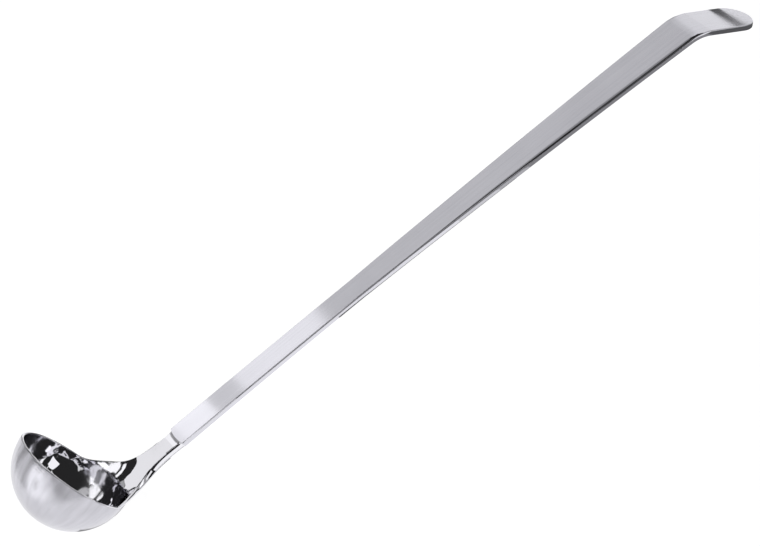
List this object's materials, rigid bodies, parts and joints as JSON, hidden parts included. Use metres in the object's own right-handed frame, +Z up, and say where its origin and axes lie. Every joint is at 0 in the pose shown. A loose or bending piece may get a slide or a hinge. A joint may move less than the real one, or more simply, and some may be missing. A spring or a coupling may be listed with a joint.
{
  "type": "dressing ladle",
  "caption": "Steel dressing ladle: a small half-ball bowl on a long flat handle that widens to a bent tab, for portioning dressings and sauces.",
  "frame": {"origin": "middle of the part's box, on the surface that it lies on", "axes": "+X from the bowl along the handle to the tab, +Z up with the ladle lying on its back, +Y across"},
  "size_m": [0.3684, 0.05, 0.0482],
  "materials": {
    "polished_steel": "mirror polish inside the bowl and on the neck, fine satin brushing round the outside",
    "satin_steel": "satin, brushed lengthwise, with polished edges",
    "weld_steel": "ground and polished weld"
  },
  "bodies": {
    "root": {"bowl": "polished_steel", "handle": "satin_steel", "shoulder_weld": "weld_steel", "tang_weld": "weld_steel"}
  },
  "joints": []
}
